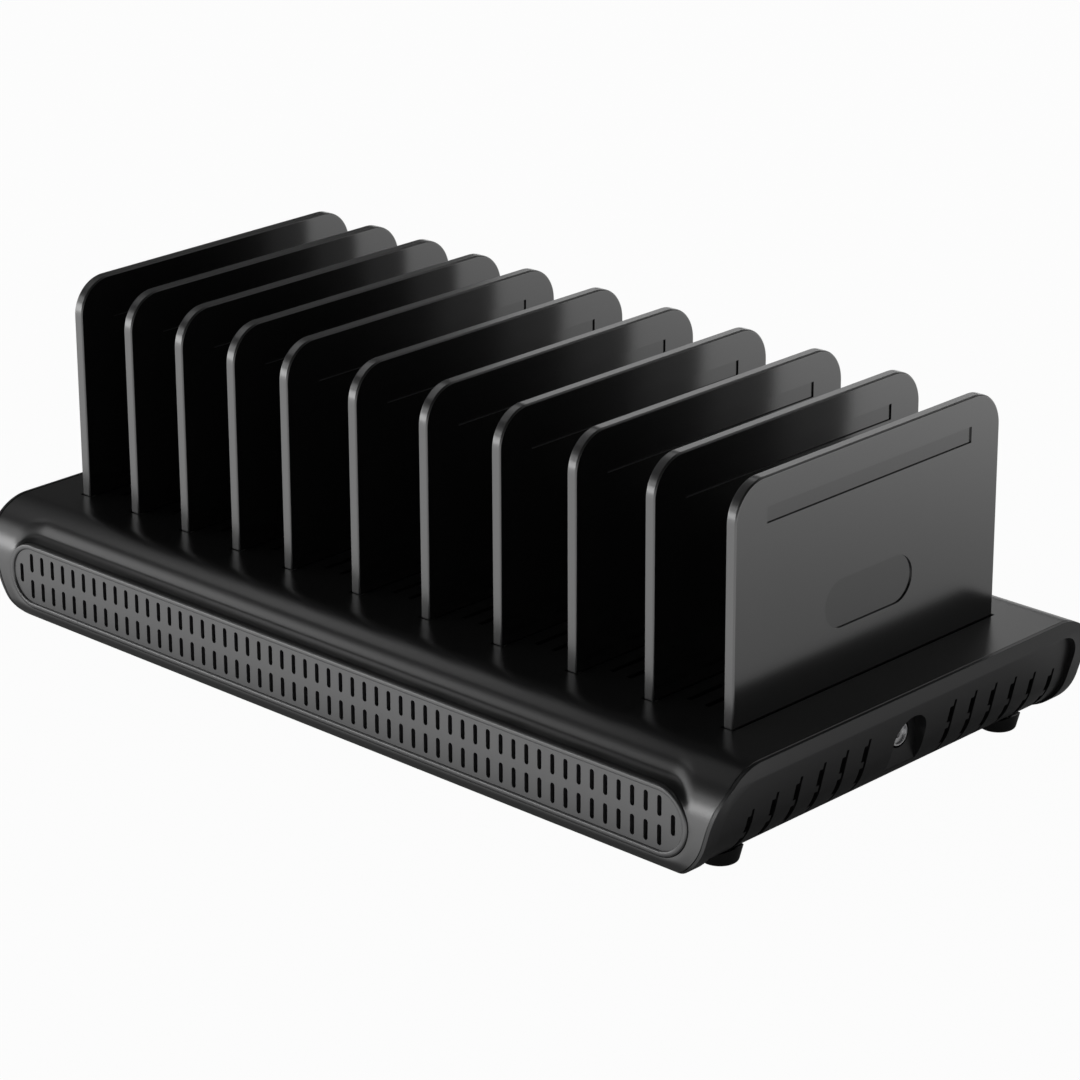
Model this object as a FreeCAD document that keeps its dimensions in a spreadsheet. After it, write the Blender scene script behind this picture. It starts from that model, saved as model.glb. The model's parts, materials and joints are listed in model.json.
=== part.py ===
import FreeCAD, Part
import Sketcher
import os
import re
from FreeCAD import Rotation, Vector

# A charging station organizer: a low base with a ten-port charger inside and eleven dividers on its deck.
# X runs along the length, the front grille faces -Y, and Z is up from the table under the feet.

doc = FreeCAD.newDocument("charging_station_organizer")

# Driving sizes, in millimetres
SIZES = {
    # base casing
    "base_length": 272.0,
    "base_depth": 147.0,
    "base_height": 30.7,
    "shell_wall": 2.2,
    "shoulder_radius": 15.0,
    "rear_radius": 13.0,
    "nose_radius": 5.5,
    "lip_width": 7.0,
    "fit": 0.2,
    "overrun": 5.0,
    "least_round": 0.3,
    # raked ends and their caps
    "end_lip": 4.0,
    "end_undercut": 8.2,
    "end_round": 17.0,
    "end_drop": 0.2,
    "cap_flange": 1.0,
    "plug_depth": 4.5,
    "plug_wall": 1.6,
    "rim_width": 4.5,
    "panel_recess": 2.2,
    "panel_foot_recess": 0.4,
    "panel_wall": 1.8,
    "shelf_reach": 30.0,
    "end_pattern_offset": 3.8,
    # louvers of the end caps
    "louver_pitch": 8.5,
    "louver_start": 17.0,
    "louver_width": 0.9,
    "louver_groove": 1.2,
    "louver_top": 20.9,
    "louver_fall": 5.0,
    "window_width": 2.1,
    "window_height": 4.6,
    "window_gap": 1.8,
    # dividers
    "divider_thickness": 3.1,
    "divider_height": 62.4,
    "divider_depth": 102.0,
    "divider_radius": 10.2,
    "divider_edge": 0.5,
    "divider_setback": 24.0,
    "first_divider": 15.5,
    "last_divider": 18.7,
    "narrow_pitch": 20.6,
    "tongue_depth": 10.0,
    "tongue_inset": 2.0,
    "strip_height": 4.3,
    "strip_drop": 7.9,
    "strip_inset": 11.5,
    "strip_depth": 0.4,
    "thumb_length": 34.0,
    "thumb_height": 13.0,
    "thumb_drop": 41.0,
    "thumb_depth": 0.4,
    # rails that hold the divider tongues
    "rail_width": 14.0,
    "rail_height": 11.0,
    "rail_margin": 5.0,
    "rail_inset": 4.5,
    # deck vents
    "vent_width": 1.6,
    "vent_length": 13.0,
    "vent_pitch": 17.6,
    "vent_spread": 5.9,
    "vent_inset": 7.0,
    # front grille and rear port panel
    "grille_end_gap": 10.3,
    "grille_height": 18.8,
    "grille_depth": 6.0,
    "grille_proud": 0.4,
    "grille_recess": 1.0,
    "grille_ring": 1.4,
    "grille_face": 1.6,
    "grille_rise": 14.3,
    "slot_pitch": 4.4,
    "slot_width": 1.4,
    "slot_height": 5.5,
    "slot_row_gap": 2.2,
    "slot_end_gap": 3.0,
    # ports
    "port_end_gap": 26.7,
    "port_width": 13.1,
    "port_height": 5.7,
    "port_length": 14.0,
    "port_wall": 0.3,
    "tongue_width": 11.1,
    "tongue_thickness": 1.9,
    "tongue_length": 12.0,
    "tongue_rise": 0.5,
    # board and what stands on it
    "board_thickness": 1.6,
    "board_end_gap": 12.0,
    "board_front": 12.0,
    "board_rear_gap": 0.5,
    "post_radius": 3.0,
    "post_inset": 40.0,
    "post_front_gap": 6.0,
    "post_rear_gap": 14.0,
    "coil_width": 7.4,
    "coil_height": 4.2,
    "coil_place": 26.0,
    "coil_round": 1.0,
    "chip_length": 6.0,
    "chip_width": 5.0,
    "chip_height": 1.6,
    "chip_place": 15.0,
    "can_radius": 3.15,
    "can_height": 6.6,
    "can_place": 3.0,
    "can_round": 0.6,
    # power inlet
    "jack_place": 4.0,
    "jack_rise": 15.4,
    "jack_setback": 8.3,
    "jack_length": 14.0,
    "jack_width": 9.6,
    "jack_top": 5.0,
    "jack_bore_depth": 9.5,
    "jack_hole_radius": 3.8,
    "sleeve_radius": 3.3,
    "sleeve_wall": 0.5,
    "sleeve_proud": 0.8,
    "pin_radius": 1.05,
    "pin_gap": 0.5,
    "arch_radius": 6.25,
    "arch_wall": 1.6,
    "arch_foot": 8.5,
    # feet
    "foot_height": 2.8,
    "foot_radius": 4.8,
    "foot_top_radius": 6.8,
    "foot_reach": 8.0,
    "foot_round": 0.8,
    "foot_inset": 18.3,
    "foot_front_inset": 21.1,
    "foot_rear_inset": 15.3,
    "foot_boss_radius": 7.0,
    "foot_boss_height": 7.0,
    "peg_radius": 2.5,
    "peg_height": 5.0,
    # screws
    "boss_radius": 3.5,
    "boss_inset": 23.5,
    "pilot_depth": 12.0,
    "screw_radius": 1.4,
    "screw_length": 11.0,
    "screw_head_radius": 2.8,
    "screw_head_height": 1.2,
    "board_screw_radius": 1.0,
    "board_screw_length": 6.0,
    "board_screw_head_radius": 2.2,
    "board_screw_head_height": 1.5,
}

NARROW_BAYS = 4
WIDE_BAYS = 6
VENT_ROWS = 5
PORT_COUNT = 10
LOUVERS_PER_GROUP = 6
SCREWED_BAYS = (2, 5, 8)

sheet = doc.addObject("Spreadsheet::Sheet", "sizes")
for row, (alias, number) in enumerate(SIZES.items(), start=1):
    sheet.set(f"A{row}", alias)
    sheet.set(f"B{row}", str(number))
    sheet.setAlias(f"B{row}", alias)
doc.recompute()


# Helpers
def size(alias):
    """One driving size, read from the sheet."""
    return float(sheet.get(alias))


def bind(item, prop, text):
    """Tie a property to the sheet: every size name in the text becomes a cell reference."""
    words = re.sub(r"[a-z]+(?:_[a-z]+)*", lambda word: "sizes." + word.group(), str(text))
    item.setExpression(prop, words)


def place(item, x, y, z):
    for axis, text in zip("xyz", (x, y, z)):
        bind(item, f"Placement.Base.{axis}", text)


def box(name, x, y, z, length, width, height):
    item = doc.addObject("Part::Box", name)
    bind(item, "Length", length)
    bind(item, "Width", width)
    bind(item, "Height", height)
    place(item, x, y, z)
    return item


TURN_TO = {"X": Rotation(Vector(0, 1, 0), 90), "Y": Rotation(Vector(1, 0, 0), -90), "Z": Rotation()}


def cylinder(name, x, y, z, radius, height, axis="Z"):
    item = doc.addObject("Part::Cylinder", name)
    bind(item, "Radius", radius)
    bind(item, "Height", height)
    item.Placement = FreeCAD.Placement(Vector(), TURN_TO[axis])
    place(item, x, y, z)
    return item


def join(name, items):
    item = doc.addObject("Part::MultiFuse", name)
    item.Shapes = items
    item.Refine = True
    return item


def gather(name, items):
    item = doc.addObject("Part::Compound", name)
    item.Links = items
    return item


def cut(name, base, tool):
    item = doc.addObject("Part::Cut", name)
    item.Base = base
    item.Tool = tool
    return item


def overlap(name, items):
    item = doc.addObject("Part::MultiCommon", name)
    item.Shapes = items
    return item


def rounded(name, base, radius_of):
    """Round the edges of base for which radius_of(edge) gives a radius."""
    doc.recompute()
    item = doc.addObject("Part::Fillet", name)
    item.Base = base
    picked = []
    for number, edge in enumerate(base.Shape.Edges, start=1):
        radius = radius_of(edge)
        if radius:
            picked.append((number, radius, radius))
    item.Edges = picked
    return item


def runs_along(edge, axis):
    if edge.Curve.TypeId != "Part::GeomLine":
        return False
    return abs(edge.Curve.Direction.dot(axis)) > 0.999


def profile_body(name, plane, points, length):
    """A body padded both ways from an outline whose corners are tied to the sheet."""
    body = doc.addObject("PartDesign::Body", name)
    sketch = body.newObject("Sketcher::SketchObject", name + "_outline")
    for feature in body.Origin.OriginFeatures:
        if feature.Role == plane:
            sketch.AttachmentSupport = [(feature, "")]
    sketch.MapMode = "FlatFace"
    count = len(points)
    # any plain start shape will do, because the constraints below set every corner
    for corner in range(count):
        here = Vector(corner, corner * corner, 0)
        following = Vector((corner + 1) % count, ((corner + 1) % count) ** 2, 0)
        sketch.addGeometry(Part.LineSegment(here, following), False)
    for corner in range(count):
        sketch.addConstraint(Sketcher.Constraint("Coincident", corner, 2, (corner + 1) % count, 1))
    for corner, (across, up) in enumerate(points):
        for kind, text in (("DistanceX", across), ("DistanceY", up)):
            number = sketch.addConstraint(Sketcher.Constraint(kind, -1, 1, corner, 1, 1.0))
            bind(sketch, f"Constraints[{number}]", text)
    pad = body.newObject("PartDesign::Pad", name + "_pad")
    pad.Profile = sketch
    pad.Midplane = True
    bind(pad, "Length", length)
    return body


PIECES = []


def piece(item, label):
    item.Label = label
    PIECES.append(item)
    return item


# Places that many pieces share
DECK = "(foot_height + base_height)"
FLOOR = "foot_height"
FRONT = "(-base_depth / 2)"
REAR = "(base_depth / 2)"
RIGHT = "(base_length / 2)"
DIVIDER_FRONT = "(divider_setback - base_depth / 2)"
GRILLE_MIDDLE = "(foot_height + grille_rise)"
GRILLE_LENGTH = "(base_length - 2 * grille_end_gap)"
PORT_PITCH = f"(({GRILLE_LENGTH} - 2 * port_end_gap) / {PORT_COUNT - 1})"
PORT_MOUTH = "(base_depth / 2 + grille_proud - grille_recess)"
BOARD_TOP = "(foot_height + grille_rise - port_height / 2)"
BOARD_REAR = "(base_depth / 2 + grille_proud - grille_depth - board_rear_gap)"
BOARD_HALF = "(base_length / 2 - board_end_gap)"
SHELF_EDGE = "(base_length / 2 - shelf_reach)"
LIP_EDGE = "(base_depth / 2 - lip_width)"
JACK_FLOOR = "(base_length / 2 - jack_setback)"
JACK_AXIS = "(foot_height + jack_rise)"


def divider_place(index):
    """A divider's mid-plane: narrow bays from the left, then even wide bays up to the last divider."""
    narrow = min(index, NARROW_BAYS)
    wide_share = max(index - NARROW_BAYS, 0) / WIDE_BAYS
    room = f"(base_length - first_divider - last_divider - {NARROW_BAYS} * narrow_pitch)"
    return f"(first_divider - base_length / 2 + {narrow} * narrow_pitch + {wide_share} * {room})"


def bay_middle(index):
    return f"(({divider_place(index)} + {divider_place(index + 1)}) / 2)"


DIVIDER_COUNT = NARROW_BAYS + WIDE_BAYS + 1


def section(name, *insets):
    """A bar with the base's rounded cross-section, drawn in on every side."""
    inset = " + ".join(insets) or "0"
    drawn_in = sum(size(alias) for alias in insets)
    bar = box(name + "_bar", "-base_length / 2 - overrun", f"{FRONT} + {inset}", f"{FLOOR} + {inset}",
              "base_length + 2 * overrun", f"base_depth - 2 * ({inset})", f"base_height - 2 * ({inset})")
    doc.recompute()
    middle = bar.Shape.BoundBox.Center

    def radius_of(edge):
        if not runs_along(edge, Vector(1, 0, 0)):
            return 0
        at_top = edge.CenterOfMass.z > middle.z
        at_front = edge.CenterOfMass.y < middle.y
        top_radius = size("shoulder_radius") if at_front else size("rear_radius")
        radius = top_radius if at_top else size("nose_radius")
        return max(radius - drawn_in, size("least_round"))

    return rounded(name, bar, radius_of)


def ends(name, shift="0", foot_shift=None):
    """A block whose two ends have the base's rake and roll under, moved in by a shift, or two of them."""
    half = f"(base_length / 2 - ({shift}))"
    foot_half = f"(base_length / 2 - ({foot_shift or shift}) - end_undercut)"
    top = f"{DECK} + overrun"
    lip = f"{DECK} - end_lip"
    low = f"{FLOOR} - end_drop"
    points = [(f"-{half}", top), (half, top), (half, lip), (foot_half, low), (f"-{foot_half}", low),
              (f"-{half}", lip)]
    body = profile_body(name + "_body", "XZ_Plane", points, "base_depth + 2 * overrun")
    doc.recompute()
    lowest = body.Shape.BoundBox.ZMin

    def radius_of(edge):
        at_bottom = edge.BoundBox.ZMax < lowest + size("least_round")
        return size("end_round") if at_bottom and runs_along(edge, Vector(0, 1, 0)) else 0

    return rounded(name, body, radius_of)


def obround(name, y, length, height, depth, rise=GRILLE_MIDDLE):
    """A bar with round ends, lying along X, with its depth along Y."""
    straight = f"({length}) - ({height})"
    bar = box(name + "_bar", f"-({straight}) / 2", y, f"{rise} - ({height}) / 2", straight, depth, height)
    rods = []
    for side, sign in (("left", "-"), ("right", "")):
        x = f"{sign}({straight}) / 2"
        rods.append(cylinder(f"{name}_{side}", x, y, rise, f"({height}) / 2", depth, "Y"))
    return join(name, [bar] + rods)


# Base outline, shared by the casing pieces
whole_section = section("whole_section")
cavity = section("cavity", "shell_wall")
plug_section = section("plug_section", "shell_wall", "fit")
hollow_section = section("hollow_section", "shell_wall", "fit", "plug_wall")
end_face = ends("end_face")
flange_face = ends("flange_face", "cap_flange")
recess_face = ends("recess_face", "panel_recess", "panel_foot_recess")
groove_face = ends("groove_face", "panel_recess + louver_groove", "panel_foot_recess + louver_groove")
panel_face = ends("panel_face", "panel_recess + panel_wall", "panel_foot_recess + panel_wall")
plug_face = ends("plug_face", "plug_depth")
casing_block = overlap("casing_block", [whole_section, end_face])


# Top shell: deck, front nose and rear nose in one moulding
def deck_vents(divider_slots):
    """Rows of short slots about the middle of each bay, which lies between two divider slots."""
    doc.recompute()
    places = [slot.Shape.BoundBox.Center.x for slot in divider_slots]
    cutters = []
    deck = size("foot_height") + size("base_height")
    start = size("divider_setback") - size("base_depth") / 2 + size("vent_inset")
    wall, width, length = size("shell_wall"), size("vent_width"), size("vent_length")
    for bay, (left, right) in enumerate(zip(places, places[1:])):
        columns = 2 if bay < NARROW_BAYS else 3
        for column in range(columns):
            x = (left + right) / 2 + (column - (columns - 1) / 2) * size("vent_spread")
            for vent in range(VENT_ROWS):
                corner = Vector(x - width / 2, start + vent * size("vent_pitch"), deck - wall)
                cutters.append(Part.makeBox(width, length, wall + size("overrun"), corner))
    item = doc.addObject("Part::Feature", "deck_vents")
    item.Shape = Part.makeCompound(cutters)
    return item


def rail(name, y):
    """A bar under the deck with a notch for every divider; the notches come with the divider slots."""
    start = f"{divider_place(0)} - rail_margin"
    length = f"{divider_place(DIVIDER_COUNT - 1)} - {divider_place(0)} + 2 * rail_margin"
    return box(name, start, y, f"{DECK} - shell_wall - rail_height", length, "rail_width",
               "rail_height + shell_wall / 2")


def divider_slot(index):
    return box(f"divider_slot_{index + 1:02d}", f"{divider_place(index)} - divider_thickness / 2 - fit",
               f"{DIVIDER_FRONT} + tongue_inset - fit", f"{DECK} - tongue_depth - fit",
               "divider_thickness + 2 * fit", "divider_depth - 2 * tongue_inset + 2 * fit",
               "tongue_depth + fit + overrun")


def screw_places():
    """The six tray screws, in pairs across three bays."""
    found = []
    for bay in SCREWED_BAYS:
        for side in (f"{FRONT} + boss_inset", f"{REAR} - boss_inset"):
            found.append((bay_middle(bay), side))
    return found


def top_shell():
    wrap = overlap("shell_wrap", [whole_section, flange_face])
    opening = box("tray_opening", "-base_length / 2 - overrun", f"-{LIP_EDGE}", f"{FLOOR} - overrun",
                  "base_length + 2 * overrun", f"2 * {LIP_EDGE}", "shell_wall + 2 * overrun")
    skin = cut("shell_skin", wrap, gather("shell_hollow", [cavity, opening]))
    rails = [rail("front_rail", f"{DIVIDER_FRONT} + rail_inset"),
             rail("rear_rail", f"{DIVIDER_FRONT} + divider_depth - rail_inset - rail_width")]
    bosses = []
    pilots = []
    for number, (x, y) in enumerate(screw_places()):
        bosses.append(cylinder(f"boss_{number}", x, y, f"{FLOOR} + shell_wall", "boss_radius",
                               "base_height - shell_wall - shell_wall / 2"))
        pilots.append(cylinder(f"pilot_{number}", x, y, f"{FLOOR} + shell_wall", "screw_radius + fit / 2",
                               "pilot_depth"))
    solid = join("shell_solid", [skin] + rails + bosses)
    slots = [divider_slot(index) for index in range(DIVIDER_COUNT)]
    windows = []
    for name, y in (("grille_window", f"{FRONT} - overrun"), ("port_window", f"{REAR} - grille_depth")):
        windows.append(obround(name, y, f"{GRILLE_LENGTH} + 2 * fit", "grille_height + 2 * fit",
                               "grille_depth + overrun"))
    tools = gather("shell_cutters", slots + pilots + windows + [deck_vents(slots)])
    return piece(cut("top_shell", solid, tools), "top_shell")


# Base tray: the floor plate between the shell's two lips, with the board's posts
def post_places():
    across = ("post_inset - base_length / 2", "base_length / 2 - post_inset")
    along = ("post_front_gap - board_front", f"{BOARD_REAR} - post_rear_gap")
    return [(x, y) for x in across for y in along]


def base_tray():
    plate = box("tray_plate", f"fit - {SHELF_EDGE}", f"fit - {LIP_EDGE}", FLOOR, f"2 * ({SHELF_EDGE} - fit)",
                f"2 * ({LIP_EDGE} - fit)", "shell_wall")
    posts = []
    holes = []
    for number, (x, y) in enumerate(post_places()):
        posts.append(cylinder(f"post_{number}", x, y, FLOOR, "post_radius",
                              f"{BOARD_TOP} - board_thickness - {FLOOR}"))
        holes.append(cylinder(f"post_hole_{number}", x, y, f"{FLOOR} + shell_wall",
                              "board_screw_radius + fit / 2", "base_height"))
    for number, (x, y) in enumerate(screw_places()):
        holes.append(cylinder(f"tray_hole_{number}", x, y, f"{FLOOR} - overrun", "screw_radius + fit",
                              "shell_wall + 2 * overrun"))
        holes.append(cylinder(f"counterbore_{number}", x, y, f"{FLOOR} - overrun", "screw_head_radius + fit",
                              "screw_head_height + overrun"))
    solid = join("tray_solid", [plate] + posts)
    return piece(cut("base_tray", solid, gather("tray_holes", holes)), "base_tray")


# End caps: a rim, a recessed louvred panel that rolls under, a plug inside the shell and a shelf for the feet
def louver_tools(side):
    """The grooves, and the windows through the panel, for both groups of louvers."""
    grooves = []
    windows = []
    start = "0" if side == "right" else "-base_length / 2 - overrun"
    for group in (-1, 1):
        for number in range(LOUVERS_PER_GROUP):
            y = f"(end_pattern_offset + {group} * (louver_start + {number} * louver_pitch))"
            fall_share = (number / (LOUVERS_PER_GROUP - 1)) ** 2
            top = f"({FLOOR} + louver_top - {fall_share} * louver_fall)"
            tag = f"{side}_{'front' if group < 0 else 'rear'}_{number}"
            grooves.append(box(f"groove_{tag}", start, f"{y} - louver_width / 2", f"{FLOOR} - overrun",
                               "base_length / 2 + overrun", "louver_width", f"{top} - {FLOOR} + overrun"))
            near = f"{y} + louver_width / 2 - window_width"
            for level in (1, 2):
                low = f"{top} - {level} * (window_height + window_gap)"
                windows.append(box(f"window_{tag}_{level}", start, near, low, "base_length / 2 + overrun",
                                   "window_width", "window_height"))
    return grooves, windows


def recess_section(side):
    """The panel's outline: inside the rim at the front, top and rear, and open at the bottom."""
    start = "0" if side == "right" else "-base_length / 2 - overrun"
    bar = box(f"{side}_recess_bar", start, f"{FRONT} + rim_width", f"{FLOOR} - overrun",
              "base_length / 2 + overrun", "base_depth - 2 * rim_width", "base_height + overrun - rim_width")
    doc.recompute()
    middle = bar.Shape.BoundBox.Center

    def radius_of(edge):
        if not runs_along(edge, Vector(1, 0, 0)) or edge.CenterOfMass.z < middle.z:
            return 0
        radius = size("shoulder_radius") if edge.CenterOfMass.y < middle.y else size("rear_radius")
        return max(radius - size("rim_width"), size("least_round"))

    return rounded(f"{side}_recess_section", bar, radius_of)


def foot_places(side):
    sign = "" if side == "right" else "-"
    x = f"{sign}({RIGHT} - foot_inset)"
    return {"front": (x, f"{FRONT} + foot_front_inset"), "rear": (x, f"{REAR} - foot_rear_inset")}


def jack_arch():
    """The pocket round the power inlet and the wall behind it, both with an arched top."""

    def arch(name, x, radius):
        rod = cylinder(name + "_top", x, "jack_place", JACK_AXIS, radius, "shelf_reach", "X")
        leg = box(name + "_leg", x, f"jack_place - ({radius})", f"{JACK_AXIS} - arch_foot", "shelf_reach",
                  f"2 * ({radius})", "arch_foot")
        return join(name, [rod, leg])

    block = arch("arch_wall_block", f"{JACK_FLOOR} - arch_wall", "arch_radius + arch_wall")
    wall = overlap("arch_wall_trimmed", [block, recess_face])
    pocket = arch("arch_pocket", JACK_FLOOR, "arch_radius")
    hole = cylinder("jack_hole", f"{JACK_FLOOR} - arch_wall - overrun", "jack_place", JACK_AXIS,
                    "jack_hole_radius", "arch_wall + 2 * overrun", "X")
    return wall, gather("arch_cutters", [pocket, hole])


def cap_shelf(side):
    """The low tray that reaches in from the cap's foot, between the shell's two lips."""
    start = SHELF_EDGE if side == "right" else f"-{RIGHT}"
    block = box(f"{side}_shelf_block", start, f"fit - {LIP_EDGE}", FLOOR, "shelf_reach",
                f"2 * ({LIP_EDGE} - fit)", "shell_wall + fit + plug_wall")
    room = box(f"{side}_shelf_room", start, f"fit - {LIP_EDGE} + plug_wall", f"{FLOOR} + shell_wall",
               "shelf_reach", f"2 * ({LIP_EDGE} - fit - plug_wall)", "base_height")
    trimmed = overlap(f"{side}_shelf_trimmed", [block, end_face])
    hollow = overlap(f"{side}_shelf_hollow", [room, panel_face])
    return cut(f"{side}_shelf", trimmed, hollow)


def cap_slab(side, half):
    """The rim and panel in one thickness, with the plug that goes inside the shell."""
    flange_slab = cut(f"{side}_flange_slab", end_face, flange_face)
    flange = overlap(f"{side}_flange", [half, whole_section, flange_slab])
    plug_slab = cut(f"{side}_plug_slab", flange_face, plug_face)
    plug = overlap(f"{side}_plug", [half, plug_section, plug_slab])
    hollow = overlap(f"{side}_plug_hollow", [half, hollow_section, panel_face])
    return cut(f"{side}_cap_slab", join(f"{side}_cap_block", [flange, plug]), hollow)


def end_cap(side):
    start = "0" if side == "right" else "-base_length / 2 - overrun"
    half = box(f"{side}_half", start, f"{FRONT} - overrun", f"{FLOOR} - overrun", "base_length / 2 + overrun",
               "base_depth + 2 * overrun", "base_height + 2 * overrun")
    bosses = []
    holes = []
    for row, (x, y) in foot_places(side).items():
        rod = cylinder(f"{side}_{row}_boss_rod", x, y, FLOOR, "foot_boss_radius", "foot_boss_height")
        bosses.append(overlap(f"{side}_{row}_foot_boss", [rod, casing_block]))
        holes.append(cylinder(f"{side}_{row}_peg_hole", x, y, f"{FLOOR} - overrun", "peg_radius + fit",
                              "overrun + foot_boss_height + overrun"))
    solid = join(f"{side}_cap_solid", [cap_slab(side, half), cap_shelf(side)] + bosses)
    recess_slab = cut(f"{side}_recess_slab", half, recess_face)
    recess = overlap(f"{side}_recess", [recess_section(side), recess_slab])
    grooves, windows = louver_tools(side)
    groove_slab = cut(f"{side}_groove_slab", recess_face, groove_face)
    groove_cut = overlap(f"{side}_grooves", [gather(f"{side}_groove_set", grooves), groove_slab])
    tools = gather(f"{side}_cap_tools", [recess, groove_cut] + windows + holes)
    name = f"{side}_end_cap"
    if side == "left":
        return piece(cut(name, solid, tools), name)
    wall, arch_cutters = jack_arch()
    walled = join("right_cap_walled", [cut("right_cap_pierced", solid, tools), wall])
    return piece(cut(name, walled, arch_cutters), name)


# Front grille and rear port panel: the same ring, one with slots and one with port openings
def ring_panel(name, outer_face, sign):
    """A shallow oval cup: a ring, a face set back inside it, and a hollow behind the face."""
    inner_length = f"{GRILLE_LENGTH} - 2 * grille_ring"
    inner_height = "grille_height - 2 * grille_ring"
    back = f"{outer_face} - grille_depth" if sign > 0 else outer_face
    body = obround(name + "_body", back, GRILLE_LENGTH, "grille_height", "grille_depth")
    face = f"{outer_face} - grille_recess" if sign > 0 else f"{outer_face} + grille_recess - overrun"
    front_cut = obround(name + "_recess", face, inner_length, inner_height, "overrun")
    behind = "grille_depth - grille_recess - grille_face"
    hollow_start = f"{back} - overrun" if sign > 0 else f"{outer_face} + grille_recess + grille_face"
    hollow = obround(name + "_hollow", hollow_start, inner_length, inner_height, f"{behind} + overrun")
    return cut(name + "_cup", body, gather(name + "_rooms", [front_cut, hollow]))


def grille_slots():
    """Two rows of upright slots with round ends, and one slot in the middle at each end of the rows."""
    width, height = size("slot_width"), size("slot_height")
    middle = size("foot_height") + size("grille_rise")
    front = -size("base_depth") / 2 - size("overrun")
    depth = size("overrun") + size("grille_depth")
    rise = (height + size("slot_row_gap")) / 2
    half_room = size("base_length") / 2 - size("grille_end_gap") - size("grille_ring") - size("slot_end_gap")
    columns = 2 * int(half_room / size("slot_pitch") - 1 / 2)
    half_run = (columns - 1) / 2

    def slot(x, z):
        straight = height - width
        bar = Part.makeBox(width, depth, straight, Vector(x - width / 2, front, z - straight / 2))
        low = Part.makeCylinder(width / 2, depth, Vector(x, front, z - straight / 2), Vector(0, 1, 0))
        high = Part.makeCylinder(width / 2, depth, Vector(x, front, z + straight / 2), Vector(0, 1, 0))
        return bar.fuse([low, high]).removeSplitter()

    slots = []
    for column in range(columns):
        x = (column - half_run) * size("slot_pitch")
        slots += [slot(x, middle - rise), slot(x, middle + rise)]
    for side in (-1, 1):
        slots.append(slot(side * (half_run + 1) * size("slot_pitch"), middle))
    item = doc.addObject("Part::Feature", "grille_slots")
    item.Shape = Part.makeCompound(slots)
    return item


def port_place(index):
    return f"({index - (PORT_COUNT - 1) / 2} * {PORT_PITCH})"


def front_grille():
    cup = ring_panel("grille", f"({FRONT} - grille_proud)", -1)
    return piece(cut("front_grille", cup, grille_slots()), "front_grille")


def port_panel():
    cup = ring_panel("port_panel", f"({REAR} + grille_proud)", 1)
    openings = []
    for index in range(PORT_COUNT):
        openings.append(box(f"port_opening_{index + 1:02d}", f"{port_place(index)} - port_width / 2 - fit",
                            f"{REAR} - grille_depth - overrun", f"{BOARD_TOP} - fit", "port_width + 2 * fit",
                            "grille_depth + 2 * overrun", "port_height + 2 * fit"))
    return piece(cut("port_panel", cup, gather("port_openings", openings)), "port_panel")


# Dividers: a rounded plate with a narrower tongue that stands in the deck's slot
DIVIDER_TOP = f"({DECK} + divider_height)"
DIVIDER_REAR = f"({DIVIDER_FRONT} + divider_depth)"


def divider_plate(name):
    """The plate and its tongue, with both top corners round and every edge above the deck eased."""
    low = f"{DECK} - tongue_depth"
    tongue_front = f"{DIVIDER_FRONT} + tongue_inset"
    tongue_rear = f"{DIVIDER_REAR} - tongue_inset"
    points = [(tongue_front, low), (tongue_rear, low), (tongue_rear, DECK), (DIVIDER_REAR, DECK),
              (DIVIDER_REAR, DIVIDER_TOP), (DIVIDER_FRONT, DIVIDER_TOP), (DIVIDER_FRONT, DECK),
              (tongue_front, DECK)]
    plate = profile_body(name + "_plate", "YZ_Plane", points, "divider_thickness")
    doc.recompute()
    highest = plate.Shape.BoundBox.ZMax
    deck = size("foot_height") + size("base_height")

    def corner_radius(edge):
        at_top = edge.CenterOfMass.z > highest - size("least_round")
        return size("divider_radius") if at_top and runs_along(edge, Vector(1, 0, 0)) else 0

    def edge_radius(edge):
        above_deck = edge.CenterOfMass.z > deck + size("least_round")
        in_a_face = edge.BoundBox.XLength < size("least_round")
        return size("divider_edge") if above_deck and in_a_face else 0

    return rounded(name + "_eased", rounded(name + "_corners", plate, corner_radius), edge_radius)


def divider_hollows(name):
    """A straight shallow strip near the top of the right face, and a thumb recess below it."""
    face = "divider_thickness / 2"
    strip = box(name + "_strip", f"{face} - strip_depth", f"{DIVIDER_FRONT} + strip_inset",
                f"{DIVIDER_TOP} - strip_drop - strip_height", "strip_depth + overrun",
                "divider_depth - 2 * strip_inset", "strip_height")
    floor = f"{face} - thumb_depth"
    depth = "thumb_depth + overrun"
    half_straight = "(thumb_length - thumb_height) / 2"
    middle = f"({DIVIDER_FRONT} + divider_depth / 2)"
    rise = f"({DIVIDER_TOP} - thumb_drop)"
    thumb = [box(name + "_thumb", floor, f"{middle} - {half_straight}", f"{rise} - thumb_height / 2", depth,
                 "thumb_length - thumb_height", "thumb_height")]
    for side, sign in (("front", "-"), ("rear", "+")):
        thumb.append(cylinder(f"{name}_thumb_{side}", floor, f"{middle} {sign} {half_straight}", rise,
                              "thumb_height / 2", depth, "X"))
    return gather(name + "_hollows", [strip, join(name + "_thumb_recess", thumb)])


def divider(index):
    name = f"divider_{index + 1:02d}"
    shaped = cut(name, divider_plate(name), divider_hollows(name))
    bind(shaped, "Placement.Base.x", divider_place(index))
    return piece(shaped, name)


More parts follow.
